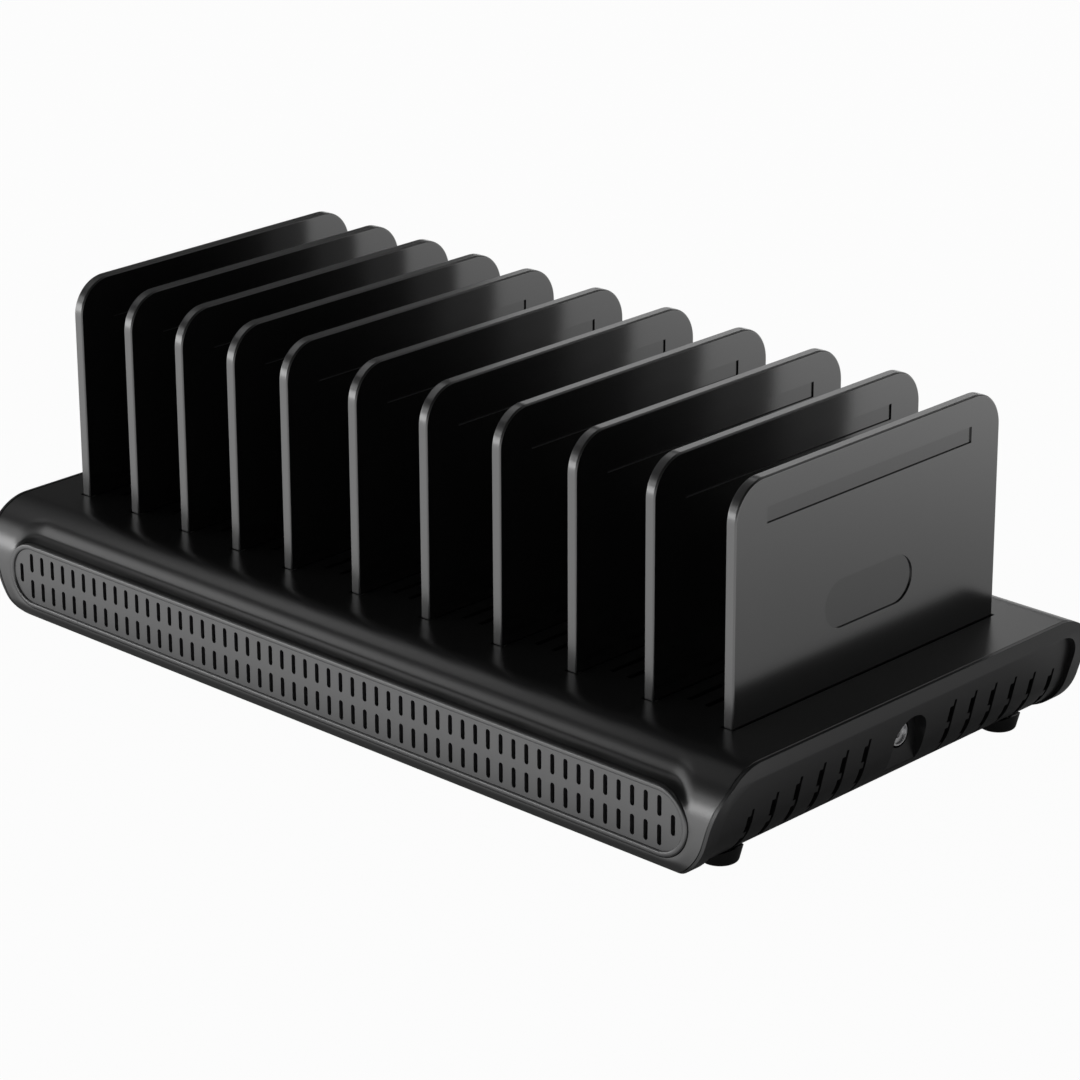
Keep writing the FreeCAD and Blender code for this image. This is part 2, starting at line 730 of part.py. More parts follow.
# Ports: a folded metal shell and the contact tongue inside it
def usb_port(index):
    tag = f"{index + 1:02d}"
    left = f"{port_place(index)} - port_width / 2"
    back = f"{PORT_MOUTH} - port_length"
    shell = box(f"port_shell_{tag}", left, back, BOARD_TOP, "port_width", "port_length", "port_height")
    room = box(f"port_room_{tag}", f"{left} + port_wall", f"{back} + port_wall", f"{BOARD_TOP} + port_wall",
               "port_width - 2 * port_wall", "port_length + overrun", "port_height - 2 * port_wall")
    piece(cut(f"usb_port_{tag}", shell, room), f"usb_port_{tag}")
    tongue = box(f"port_tongue_{tag}", f"{port_place(index)} - tongue_width / 2", f"{back} + port_wall",
                 f"{BOARD_TOP} + port_height / 2 + tongue_rise", "tongue_width", "tongue_length",
                 "tongue_thickness")
    piece(tongue, f"port_tongue_{tag}")


# Main board, with holes for the screws and for the shell's rear bosses
def main_board():
    plate = box("board_plate", f"-{BOARD_HALF}", "-board_front", f"{BOARD_TOP} - board_thickness",
                f"2 * {BOARD_HALF}", f"{BOARD_REAR} + board_front", "board_thickness")
    low = f"{BOARD_TOP} - board_thickness - overrun"
    through = "board_thickness + 2 * overrun"
    holes = []
    for number, (x, y) in enumerate(post_places()):
        holes.append(cylinder(f"board_hole_{number}", x, y, low, "board_screw_radius + fit", through))
    for number, (x, y) in enumerate(screw_places()):
        holes.append(cylinder(f"board_boss_hole_{number}", x, y, low, "boss_radius + 2 * fit", through))
    return piece(cut("main_board", plate, gather("board_holes", holes)), "main_board")


def converter_parts():
    """One coil and one chip for each pair of ports, and one can capacitor for each port."""
    coils = []
    chips = []
    for index in range(PORT_COUNT // 2):
        x = f"(({port_place(2 * index)} + {port_place(2 * index + 1)}) / 2)"
        block = box(f"coil_block_{index}", f"{x} - coil_width / 2", "coil_place - coil_width / 2", BOARD_TOP,
                    "coil_width", "coil_width", "coil_height")
        coils.append(rounded(f"coil_{index}", block, lambda edge: size("coil_round") if runs_along(
            edge, Vector(0, 0, 1)) else 0))
        chips.append(box(f"chip_{index}", f"{x} - chip_length / 2", "chip_place - chip_width / 2", BOARD_TOP,
                         "chip_length", "chip_width", "chip_height"))
    cans = []
    for index in range(PORT_COUNT):
        rod = cylinder(f"can_rod_{index}", port_place(index), "can_place", BOARD_TOP, "can_radius",
                       "can_height")
        doc.recompute()
        highest = rod.Shape.BoundBox.ZMax
        cans.append(rounded(f"can_{index}", rod, lambda edge: size("can_round") if edge.BoundBox.ZMin
                            > highest - size("least_round") else 0))
    piece(gather("power_coils", coils), "power_coils")
    piece(gather("converter_chips", chips), "converter_chips")
    piece(gather("capacitors", cans), "capacitors")


# Power inlet: a barrel jack on the board, behind the right cap's arch
def power_jack():
    face = f"({JACK_FLOOR} - arch_wall - fit)"
    block = box("jack_block", f"{face} - jack_length", "jack_place - jack_width / 2", BOARD_TOP,
                "jack_length", "jack_width", f"{JACK_AXIS} + jack_top - {BOARD_TOP}")
    bore = cylinder("jack_bore", f"{face} - jack_bore_depth", "jack_place", JACK_AXIS,
                    "sleeve_radius + fit / 4", "jack_bore_depth + overrun", "X")
    piece(cut("power_jack", block, bore), "power_jack")
    sleeve = cylinder("sleeve_rod", f"{face} - jack_bore_depth", "jack_place", JACK_AXIS, "sleeve_radius",
                      "jack_bore_depth + sleeve_proud", "X")
    room = cylinder("sleeve_room", f"{face} - jack_bore_depth - overrun", "jack_place", JACK_AXIS,
                    "sleeve_radius - sleeve_wall", "jack_bore_depth + sleeve_proud + 2 * overrun", "X")
    piece(cut("jack_sleeve", sleeve, room), "jack_sleeve")
    pin = cylinder("jack_pin_rod", f"{face} - jack_bore_depth", "jack_place", JACK_AXIS, "pin_radius",
                   "jack_bore_depth - pin_gap", "X")
    doc.recompute()
    tip = pin.Shape.BoundBox.XMax
    piece(rounded("jack_pin", pin, lambda edge: size("pin_radius") / 2 if edge.BoundBox.XMin
                  > tip - size("least_round") else 0), "jack_pin")


# Feet: a tapered rubber pad that meets the rolled end all round, with a peg in the end cap's boss
def foot(side, row):
    name = f"foot_{row}_{side}"
    x, y = foot_places(side)[row]
    pad = doc.addObject("Part::Cone", name + "_pad")
    bind(pad, "Radius1", "foot_radius")
    bind(pad, "Radius2", "foot_top_radius")
    bind(pad, "Height", "foot_reach")
    place(pad, x, y, "0")
    softened = rounded(name + "_softened", pad, lambda edge: size("foot_round") if edge.BoundBox.ZMax
                       < size("least_round") else 0)
    seated = cut(name + "_seated", softened, casing_block)
    peg = cylinder(name + "_peg", x, y, "foot_height", "peg_radius", "peg_height")
    return piece(join(name, [seated, peg]), name)


# Screws
def screw(name, x, y, z, points_up, radius, length, head_radius, head_height):
    """A plain screw: a head whose under side is at z, and a shank that runs on from it."""
    head_z = f"{z} - {head_height}" if points_up else z
    shank_z = z if points_up else f"{z} - {length}"
    head = cylinder(name + "_head", x, y, head_z, head_radius, head_height)
    shank = cylinder(name + "_shank", x, y, shank_z, radius, length)
    return join(name, [head, shank])


def screws():
    tray = []
    for number, (x, y) in enumerate(screw_places()):
        tray.append(screw(f"tray_screw_{number}", x, y, f"{FLOOR} + screw_head_height", True, "screw_radius",
                          "screw_length", "screw_head_radius", "screw_head_height"))
    piece(gather("tray_screws", tray), "tray_screws")
    board = []
    for number, (x, y) in enumerate(post_places()):
        board.append(screw(f"board_screw_{number}", x, y, BOARD_TOP, False, "board_screw_radius",
                           "board_screw_length", "board_screw_head_radius", "board_screw_head_height"))
    piece(gather("board_screws", board), "board_screws")


# Build every piece
top_shell()
base_tray()
end_cap("left")
end_cap("right")
front_grille()
port_panel()
for divider_index in range(DIVIDER_COUNT):
    divider(divider_index)
for port_index in range(PORT_COUNT):
    usb_port(port_index)
main_board()
converter_parts()
power_jack()
for end_side in ("left", "right"):
    for foot_row in ("front", "rear"):
        foot(end_side, foot_row)
screws()
doc.recompute()

# Check, then write one file for each piece
for item in doc.Objects:
    if "Invalid" in item.State or "Error" in item.State:
        raise RuntimeError(f"{item.Name} failed: {item.State}")
for item in PIECES:
    if item.Shape.isNull() or not item.Shape.isValid():
        raise RuntimeError(f"{item.Label} has no valid shape")
os.makedirs("parts", exist_ok=True)
for item in PIECES:
    item.Shape.exportStep(f"parts/{item.Label}.step")
    print(item.Label, len(item.Shape.Solids), "solids", round(item.Shape.Volume, 1))
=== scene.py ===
# %% Load the frame
import json
import math

import bmesh
import bpy
from mathutils import Matrix, Vector


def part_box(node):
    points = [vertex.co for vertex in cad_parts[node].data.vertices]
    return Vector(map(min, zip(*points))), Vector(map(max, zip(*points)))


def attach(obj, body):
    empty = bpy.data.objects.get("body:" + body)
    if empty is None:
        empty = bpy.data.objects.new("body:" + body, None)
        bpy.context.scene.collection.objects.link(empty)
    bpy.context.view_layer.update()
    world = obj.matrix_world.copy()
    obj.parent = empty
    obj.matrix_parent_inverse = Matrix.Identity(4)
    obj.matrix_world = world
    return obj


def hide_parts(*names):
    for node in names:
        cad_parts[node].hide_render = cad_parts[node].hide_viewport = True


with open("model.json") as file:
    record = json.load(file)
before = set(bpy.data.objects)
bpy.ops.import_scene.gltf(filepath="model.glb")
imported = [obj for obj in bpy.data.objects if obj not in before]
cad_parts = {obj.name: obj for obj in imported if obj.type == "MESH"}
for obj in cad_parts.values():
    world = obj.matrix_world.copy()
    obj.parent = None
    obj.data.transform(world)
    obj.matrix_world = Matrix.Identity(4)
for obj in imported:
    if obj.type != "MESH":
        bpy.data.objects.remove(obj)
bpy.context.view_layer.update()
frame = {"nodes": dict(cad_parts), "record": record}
scene = bpy.context.scene

# %% [markdown]
# # A charging station organizer
# The object is a low black base with a row of upright dividers on its deck. The frame that was just
# loaded gives every piece its true place and size in metres. This lesson dresses those pieces: it
# rounds the casing, cuts the grille, and gives each moulding, metal and rubber its own finish.
#
# # The camera
# A product picture like this one is taken from far away with a long lens, so that edges stay almost
# parallel. The lens and the place were found by matching the dividers' edges to the photograph.

# %% Camera
MM = 0.001
LENS = 133.9
CLIP_START = 0.05
CAMERA_PLACE = Vector((0.6989, -0.7242, 0.4235))
CAMERA_YAW = math.radians(-43.67)
CAMERA_PITCH = math.radians(20.97)
CAMERA_ROLL = math.radians(-0.22)


def place_camera():
    yaw, pitch, roll = CAMERA_YAW, CAMERA_PITCH, CAMERA_ROLL
    forward = Vector((math.sin(yaw) * math.cos(pitch), math.cos(yaw) * math.cos(pitch), -math.sin(pitch)))
    level = Vector((math.cos(yaw), -math.sin(yaw), 0))
    upright = level.cross(forward)
    right = math.cos(roll) * level + math.sin(roll) * upright
    up = math.cos(roll) * upright - math.sin(roll) * level
    data = bpy.data.cameras.new("camera")
    data.lens = LENS
    data.clip_start = CLIP_START
    camera = bpy.data.objects.new("camera", data)
    turn = Matrix((right, up, -forward)).transposed().to_4x4()
    camera.matrix_world = Matrix.Translation(CAMERA_PLACE) @ turn
    scene.collection.objects.link(camera)
    scene.camera = camera
    return camera


print("camera at", [round(v, 3) for v in place_camera().location])

# %% [markdown]
# # Writing nodes as Python
# Shader and geometry trees are easier to read as formulas than as boxes and wires. `Wire` wraps one
# output socket. Adding or multiplying wires adds a Math node, also when a plain number stands first,
# so `1 - mask` works. `NodeSheet.node` makes every other node: settings first, then its sockets.


# %% Node helpers
class Wire:
    """One output socket. Arithmetic on it adds Math nodes to its sheet."""

    def __init__(self, sheet, socket):
        self.sheet = sheet
        self.socket = socket

    def maths(self, operation, first, second):
        return self.sheet.node("ShaderNodeMath", {"operation": operation}, {0: first, 1: second})

    def __add__(self, other):
        return self.maths("ADD", self, other)

    def __radd__(self, other):
        return self.maths("ADD", other, self)

    def __sub__(self, other):
        return self.maths("SUBTRACT", self, other)

    def __rsub__(self, other):
        return self.maths("SUBTRACT", other, self)

    def __mul__(self, other):
        return self.maths("MULTIPLY", self, other)

    def __rmul__(self, other):
        return self.maths("MULTIPLY", other, self)

    def __truediv__(self, other):
        return self.maths("DIVIDE", self, other)


class NodeSheet:
    """A node tree that is filled by one method. A list of wires fills a socket that takes several."""

    def __init__(self, tree):
        self.tree = tree
        tree.nodes.clear()

    def node(self, kind, settings=None, inputs=None, output=0):
        made = self.tree.nodes.new(kind)
        for name, value in (settings or {}).items():
            if name == "stops":
                self.set_stops(made.color_ramp, value)
            else:
                setattr(made, name, value)
        for name, value in (inputs or {}).items():
            for part in value if isinstance(value, list) else [value]:
                if isinstance(part, Wire):
                    self.tree.links.new(part.socket, made.inputs[name])
                else:
                    made.inputs[name].default_value = part
        return Wire(self, made.outputs[output]) if made.outputs else None

    def blend(self, share, first, second):
        """Mix two colours. A Mix node holds its colour sockets at places 6 and 7."""
        return self.node("ShaderNodeMix", {"data_type": "RGBA"}, {0: share, 6: first, 7: second}, output=2)

    @staticmethod
    def set_stops(ramp, stops):
        """Stops are (position, grey level) pairs; a ramp starts with two."""
        while len(ramp.elements) < len(stops):
            ramp.elements.new(0.5)
        for element, (position, level) in zip(ramp.elements, stops):
            element.position = position
            element.color = (level, level, level, 1)


def grey(level):
    return (level, level, level, 1)


def shaded(color, share):
    return (*(level * share for level in color), 1)


print("node helpers ready")

# %% [markdown]
# # Moulded plastic
# The casing is satin black plastic. A real mould is spark-eroded, which leaves a fine even grain, and
# the part never has quite the same sheen all over. So the finish has two noises: a fine one that feeds
# a bump, and a broad one that shifts the roughness and the colour a little. Both use Object
# coordinates, so the grain has the same size on every piece. The dividers also have a clear coat. Where
# a mesh marks faces with the attribute recess, that coat is thinner, which makes them a little darker.
# Faces that are marked with the attribute rim are rougher than the rest.

# %% Plastic finish
GRAIN_SCALE = 2600.0
GRAIN_DETAIL = 2.0
GRAIN_DEPTH = 0.05 * MM
CLOUD_SCALE = 14.0
CLOUD_DETAIL = 3.0
CLOUD_SWING = 0.08
BUMP_STRENGTH = 0.1
RECESS_DROP = 0.4
RIM_RISE = 0.2


def plastic(name, color, roughness, grain_share=1.0, cloud_share=0.12, gloss=0.5, ior=1.5, coat=0.0):
    material = bpy.data.materials.new(name)
    material.use_nodes = True
    sheet = NodeSheet(material.node_tree)
    place = sheet.node("ShaderNodeTexCoord", output="Object")
    grain = sheet.node("ShaderNodeTexNoise", {},
                       {"Vector": place, "Scale": GRAIN_SCALE, "Detail": GRAIN_DETAIL})
    cloud = sheet.node("ShaderNodeTexNoise", {},
                       {"Vector": place, "Scale": CLOUD_SCALE, "Detail": CLOUD_DETAIL})
    bump = sheet.node("ShaderNodeBump", {},
                      {"Strength": BUMP_STRENGTH * grain_share, "Distance": GRAIN_DEPTH, "Height": grain})
    tint = sheet.blend(cloud, shaded(color, 1 - cloud_share), shaded(color, 1 + cloud_share))
    recess = sheet.node("ShaderNodeAttribute", {"attribute_name": "recess"}, output="Fac")
    rim = sheet.node("ShaderNodeAttribute", {"attribute_name": "rim"}, output="Fac")
    sheen = roughness + (cloud - 0.5) * CLOUD_SWING + rim * RIM_RISE
    shader = sheet.node("ShaderNodeBsdfPrincipled", {}, {
        "Base Color": tint, "Roughness": sheen, "Normal": bump, "Specular IOR Level": gloss, "IOR": ior,
        "Coat Weight": coat * (1 - recess * RECESS_DROP), "Coat Roughness": roughness})
    sheet.node("ShaderNodeOutputMaterial", {}, {"Surface": shader})
    return material


finishes = {
    "shell_black": plastic("satin_black_casing", (0.012, 0.012, 0.0125), 0.30, gloss=1.0, ior=1.7),
    "cap_black": plastic("satin_black_end", (0.022, 0.022, 0.023), 0.34, gloss=0.8),
    "tray_black": plastic("textured_black_floor", (0.025, 0.025, 0.026), 0.52, grain_share=3.0),
    "divider_black": plastic("fine_black_divider", (0.014, 0.014, 0.0145), 0.18, gloss=1.0, ior=1.6,
                             coat=1.0),
    "grille_grey": plastic("satin_grey_grille", (0.080, 0.080, 0.082), 0.36, gloss=1.0, ior=1.65),
    "foot_rubber": plastic("smooth_black_rubber", (0.010, 0.010, 0.010), 0.14, grain_share=0.3, gloss=0.8),
    "coil_ferrite": plastic("pressed_ferrite", (0.09, 0.09, 0.095), 0.7, grain_share=4.0),
    "chip_epoxy": plastic("moulded_epoxy", (0.025, 0.025, 0.028), 0.5, grain_share=2.0),
    "tongue_plastic": plastic("white_contact_carrier", (0.7, 0.7, 0.68), 0.4),
    "jack_plastic": plastic("gloss_black_inlet", (0.012, 0.012, 0.013), 0.25, grain_share=0.4),
    "board_green": plastic("green_solder_mask", (0.02, 0.13, 0.06), 0.3, cloud_share=0.3),
}
print(len(finishes), "plastic finishes")

# %% [markdown]
# # Metal
# The ports and screws are plated steel that was rolled or turned, so their sheen has fine streaks. A
# noise that is stretched along one axis gives the streaks, which feed the roughness and a faint bump.

# %% Metal finish
STREAK_SCALE = 900.0
STREAK_DETAIL = 3.0
STREAK_SWING = 0.2
STREAK_SHADE = 0.85
STREAK_STRETCH = (1.0, 0.04, 1.0)
STREAK_DEPTH = 0.02 * MM


def metal(name, color, roughness):
    material = bpy.data.materials.new(name)
    material.use_nodes = True
    sheet = NodeSheet(material.node_tree)
    place = sheet.node("ShaderNodeTexCoord", output="Object")
    drawn = sheet.node("ShaderNodeMapping", {}, {"Vector": place, "Scale": STREAK_STRETCH})
    streak = sheet.node("ShaderNodeTexNoise", {},
                        {"Vector": drawn, "Scale": STREAK_SCALE, "Detail": STREAK_DETAIL})
    bump = sheet.node("ShaderNodeBump", {},
                      {"Strength": BUMP_STRENGTH, "Distance": STREAK_DEPTH, "Height": streak})
    tint = sheet.blend(streak, shaded(color, STREAK_SHADE), shaded(color, 1.0))
    sheen = roughness + (streak - 0.5) * STREAK_SWING
    shader = sheet.node("ShaderNodeBsdfPrincipled", {},
                        {"Base Color": tint, "Metallic": 1.0, "Roughness": sheen, "Normal": bump})
    sheet.node("ShaderNodeOutputMaterial", {}, {"Surface": shader})
    return material


finishes["port_steel"] = metal("tinned_steel", (0.62, 0.62, 0.63), 0.3)
finishes["screw_steel"] = metal("zinc_plated_steel", (0.5, 0.5, 0.52), 0.35)
finishes["contact_metal"] = metal("nickel_plate", (0.85, 0.85, 0.86), 0.42)
finishes["can_aluminium"] = metal("bright_aluminium", (0.72, 0.73, 0.75), 0.3)
print(len(finishes), "finishes in all")

# %% [markdown]
# # From shape to piece
# Every piece goes through the same few steps. Its faces are shaded smooth and its edges crisp, and it
# gets a finish, the nodes that it stands for and the body that it moves with. Weighted normals keep big
# flat faces flat beside their small rounds.

# %% Piece helpers
CRISP_ANGLE = math.radians(32)
FLAT_WEIGHT = 80
JOIN_DISTANCE = 0.001 * MM
slot_of = {row["node"]: row["material_slot"] for row in frame["record"]["subparts"]}
body_of = {node: body for body, nodes in frame["record"]["behaviour"]["bodies"].items() for node in nodes}


def new_object(name, mesh):
    item = bpy.data.objects.new(name, mesh)
    scene.collection.objects.link(item)
    return item


def set_edges(shape):
    """Smooth faces, with every edge over the limit left crisp."""
    for face in shape.faces:
        face.smooth = True
    for edge in shape.edges:
        edge.smooth = edge.is_manifold and edge.calc_face_angle(0) < CRISP_ANGLE


def new_piece(name, shape):
    """Turn a bmesh into an object."""
    set_edges(shape)
    mesh = bpy.data.meshes.new(name)
    shape.to_mesh(mesh)
    shape.free()
    if "custom_normal" in mesh.attributes:
        mesh.attributes.remove(mesh.attributes["custom_normal"])
    return new_object(name, mesh)


def settled(piece):
    """Replace a piece's live modifiers by the mesh that they give."""
    bpy.context.view_layer.update()
    evaluated = piece.evaluated_get(bpy.context.evaluated_depsgraph_get())
    mesh = bpy.data.meshes.new_from_object(evaluated)
    piece.modifiers.clear()
    piece.data = mesh
    return piece


def with_flat_faces(piece):
    modifier = piece.modifiers.new("flat_faces", "WEIGHTED_NORMAL")
    modifier.keep_sharp = True
    modifier.weight = FLAT_WEIGHT
    return settled(piece)


def joined(piece, *others):
    """Take other pieces into this one, then set its normals and edges."""
    shape = bmesh.new()
    for item in (piece, *others):
        shape.from_mesh(item.data)
    bmesh.ops.recalc_face_normals(shape, faces=shape.faces)
    set_edges(shape)
    shape.to_mesh(piece.data)
    shape.free()
    for item in others:
        bpy.data.objects.remove(item)
    return piece


def cut_by(piece, *cutters):
    """Cut shapes out of a piece. The cutters are used up."""
    for cutter in cutters:
        step = piece.modifiers.new(cutter.name, "BOOLEAN")
        step.solver = "EXACT"
        step.object = cutter
    settled(piece)
    for cutter in cutters:
        bpy.data.objects.remove(cutter)
    return joined(piece)


def finished(piece, slot, body, *nodes):
    """Dress a finished piece: its finish, its body, and the nodes that it stands for."""
    piece.data.materials.clear()
    piece.data.materials.append(finishes[slot])
    if nodes:
        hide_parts(*nodes)
    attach(piece, body)
    print(piece.name, "has", len(piece.data.polygons), "faces")
    return piece


# %% [markdown]
# # Geometry trees
# What repeats is made with Geometry Nodes. Each tree has named inputs for its sizes. The tree runs once
# on a host object that holds the places as points, and the result is kept as a plain mesh, because an
# export drops live trees. The first tree puts one shape on every point.


# %% Tree helpers
def geometry_tree(name, kinds):
    """An empty tree with a geometry socket each way and one named input for each size."""
    tree = bpy.data.node_groups.new(name, "GeometryNodeTree")
    tree.interface.new_socket("Geometry", in_out="OUTPUT", socket_type="NodeSocketGeometry")
    tree.interface.new_socket("Geometry", in_out="INPUT", socket_type="NodeSocketGeometry")
    for label, kind in kinds.items():
        tree.interface.new_socket(label, in_out="INPUT", socket_type="NodeSocket" + kind)
    sheet = NodeSheet(tree)
    entry = tree.nodes.new("NodeGroupInput")
    return sheet, {label: Wire(sheet, entry.outputs[label]) for label in ("Geometry", *kinds)}


def closed_tree(sheet, geometry, finish):
    real = sheet.node("GeometryNodeRealizeInstances", {}, {"Geometry": geometry})
    dressed = sheet.node("GeometryNodeSetMaterial", {}, {"Geometry": real, "Material": finish})
    sheet.node("NodeGroupOutput", {}, {"Geometry": dressed})
    return sheet.tree


def grown(name, tree, values, points):
    """Run a tree on a host that holds the given points, and return the host with the plain result."""
    mesh = bpy.data.meshes.new(name)
    mesh.from_pydata(points, [], [])
    host = new_object(name, mesh)
    modifier = host.modifiers.new("shape", "NODES")
    modifier.node_group = tree
    for item in tree.interface.items_tree:
        if item.in_out == "INPUT" and item.name in values:
            modifier[item.identifier] = values[item.name]
    return joined(settled(host))


def repeat_tree():
    sheet, entry = geometry_tree("one_shape_on_each_point", {"Shape": "Object", "Finish": "Material"})
    shape = sheet.node("GeometryNodeObjectInfo", {}, {"Object": entry["Shape"]}, output="Geometry")
    copies = sheet.node("GeometryNodeInstanceOnPoints", {},
                        {"Points": entry["Geometry"], "Instance": shape})
    return closed_tree(sheet, copies, entry["Finish"])


one_on_each = repeat_tree()


def repeated(name, shape, points, slot):
    """A piece with a copy of the shape on each point. The single shape is used up."""
    piece = grown(name, one_on_each, {"Shape": shape, "Finish": finishes[slot]}, points)
    bpy.data.objects.remove(shape)
    return piece


print("geometry helpers ready")

# %% [markdown]
# # The casing's outline
# The casing is one moulding: a front nose, a deck and a rear nose, swept along the length. Its ends are
# upright at the top, lean in below and roll under. The whole form follows from one cross-section and
# one rule for how far each height reaches, so it is drawn by formulas instead of by hand.

# %% Casing outline
WALL = 2.2 * MM
SHOULDER_RADIUS = 15.0 * MM
REAR_RADIUS = 13.0 * MM
NOSE_RADIUS = 5.5 * MM
LIP_WIDTH = 7.0 * MM
END_LIP = 4.0 * MM
END_UNDERCUT = 8.2 * MM
END_ROUND = 17.0 * MM
END_DROP = 0.2 * MM
FINE_STEP = 0.4 * MM
COARSE_STEP = 4.0 * MM

casing_low, casing_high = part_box("top_shell")
ring_low, ring_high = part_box("front_grille")
ring_middle = (ring_low.z + ring_high.z) / 2
ring_round = (ring_high.z - ring_low.z) / 2


def end_reach(z):
    """Half the casing's length at a height: upright, then raked, then rolled under."""
    lip = casing_high.z - END_LIP
    foot = casing_low.z - END_DROP
    lean = math.atan2(END_UNDERCUT, lip - foot)
    run = END_ROUND / math.tan((math.pi / 2 + lean) / 2)
    if z >= lip:
        return casing_high.x
    if z >= foot + run * math.cos(lean):
        return casing_high.x - END_UNDERCUT * (lip - z) / (lip - foot)
    middle = casing_high.x - END_UNDERCUT - run
    return middle + math.sqrt(END_ROUND ** 2 - (foot + END_ROUND - z) ** 2)


def arc(y, z, radius, start, end):
    """Points of an arc about (y, z), each with its outward direction."""
    steps = round(radius * math.radians(abs(end - start)) / FINE_STEP)
    for step in range(steps + 1):
        angle = math.radians(start + (end - start) * step / steps)
        outward = Vector((0, math.cos(angle), math.sin(angle)))
        yield Vector((0, y, z)) + radius * outward, outward


def filled_in(points):
    """Add points along every long stretch: closely on the upright walls, widely on the level deck."""
    filled = [points[0]]
    for (start, _), (end, outward) in zip(points, points[1:]):
        step = COARSE_STEP if end.z == start.z else FINE_STEP
        count = max(1, round((end - start).length / step))
        for number in range(1, count + 1):
            filled.append((start.lerp(end, number / count), outward))
    return filled


def casing_outline():
    front, rear, low, high = casing_low.y, casing_high.y, casing_low.z, casing_high.z
    down = Vector((0, 0, -1))
    points = [(Vector((0, front + LIP_WIDTH, low)), down)]
    points += arc(front + NOSE_RADIUS, low + NOSE_RADIUS, NOSE_RADIUS, 270, 180)
    points += arc(front + SHOULDER_RADIUS, high - SHOULDER_RADIUS, SHOULDER_RADIUS, 180, 90)
    points += arc(rear - REAR_RADIUS, high - REAR_RADIUS, REAR_RADIUS, 90, 0)
    points += arc(rear - NOSE_RADIUS, low + NOSE_RADIUS, NOSE_RADIUS, 0, -90)
    points.append((Vector((0, rear - LIP_WIDTH, low)), down))
    return filled_in(points)


print(len(casing_outline()), "points in the casing's outline")

# %% [markdown]
# # The casing's skin
# A soft groove runs round the grille: the shoulder sinks a little towards it and then rises in a lip
# that meets the ring. It shows as a light and a dark band along the grille's upper edge. Because the
# skin is a fine grid, the groove is only a small push of its points near the oval. The last column at
# each end sinks a little too, which leaves a fine dark seam beside the end piece. A Solidify modifier
# then gives the wall.

# %% Casing skin
GROOVE_DEPTH = 0.9 * MM
GROOVE_WIDTH = 5.5 * MM
GROOVE_PEAK = 27 / 4
LIP_REACH = 1.9 * MM
LIP_DROP = 0.6 * MM
SEAM_EASE = 0.35 * MM
FINE_FROM = 112.0 * MM


def eased(share):
    share = min(max(share, 0), 1)
    return share * share * (3 - 2 * share)


def past_straight(x):
    """How far a place lies beyond the straight middle of the oval."""
    return max(abs(x) - (ring_high.x - ring_round), 0)


def groove_depth(x, z, away):
    """The groove's depth: deepest at a third of its width, along the oval's upper side only."""
    share = min(away / GROOVE_WIDTH, 1)
    upper = eased((z - ring_middle) / ring_round)
    middle = 1 - eased(past_straight(x) / ring_round)
    return GROOVE_DEPTH * GROOVE_PEAK * share * (1 - share) ** 2 * upper * middle


def grooved(x, spot, outward):
    """A point of the skin, sunk into the groove or drawn forward into the lip round the ring."""
    away = max(math.hypot(past_straight(x), spot.z - ring_middle) - ring_round, 0)
    lip_share = (1 - min(away / LIP_REACH, 1)) ** 2
    sunk = spot - outward * groove_depth(x, spot.z, away)
    lip = math.copysign(abs(ring_low.y) - LIP_DROP, spot.y)
    return Vector((x, sunk.y + (lip - sunk.y) * lip_share, sunk.z))


def column_shares():
    """Where the grid's columns stand, as shares of the half length: finer near both ends and their seam."""
    places = [0.0]
    while places[-1] < casing_high.x - FINE_STEP:
        places.append(places[-1] + (COARSE_STEP if places[-1] < FINE_FROM else 2 * FINE_STEP))
    right = [place / places[-1] for place in places]
    right.insert(-1, 1 - SEAM_EASE / casing_high.x)
    return [-share for share in reversed(right[1:])] + right


def casing_skin():
    shape = bmesh.new()
    shares = column_shares()
    rows = []
    for spot, outward in casing_outline():
        reach = end_reach(spot.z)
        row = []
        for share in shares:
            edge = spot - outward * SEAM_EASE if abs(share) == 1 else spot
            row.append(shape.verts.new(grooved(share * reach, edge, outward)))
        rows.append(row)
    for lower, upper in zip(rows, rows[1:]):
        for left in range(len(shares) - 1):
            shape.faces.new((lower[left], lower[left + 1], upper[left + 1], upper[left]))
    return new_piece("casing", shape)


def with_wall(piece, thickness):
    wall = piece.modifiers.new("wall", "SOLIDIFY")
    wall.thickness = thickness
    wall.offset = -1
    wall.use_even_offset = True
    return settled(piece)


casing = with_wall(casing_skin(), WALL)
print(len(casing.data.polygons), "faces in the casing's wall")

# %% [markdown]
# # Openings in the casing
# The vents are short slots in rows between the dividers. One small block is repeated on a list of
# points, and the points are worked out from the dividers' own boxes. The divider slots are cut the same
# way, with a shallow seam round each divider's foot that shows as a dark line, and each oval by a bar
# with round ends. Two rails under the deck hold the dividers' tongues.

# %% Casing openings
FIT = 0.2 * MM
GAP = 0.02 * MM
TONGUE_INSET = 2.0 * MM
SEAM_WIDTH = 0.5 * MM
SEAM_DEPTH = 1.0 * MM
RAIL_WIDTH = 14.0 * MM
RAIL_HEIGHT = 11.0 * MM
RAIL_MARGIN = 5.0 * MM
RAIL_INSET = 4.5 * MM
VENT_WIDTH = 1.6 * MM
VENT_LENGTH = 13.0 * MM
VENT_PITCH = 17.6 * MM
VENT_SPREAD = 5.9 * MM
VENT_INSET = 7.0 * MM
VENT_ROWS = 5
NARROW_BAY = 24.0 * MM
OVAL_STEPS = 24

divider_names = sorted(node for node in frame["nodes"] if node.startswith("divider_"))
divider_boxes = [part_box(node) for node in divider_names]
divider_middles = [(low.x + high.x) / 2 for low, high in divider_boxes]
divider_low, divider_high = divider_boxes[0]
deck = casing_high.z


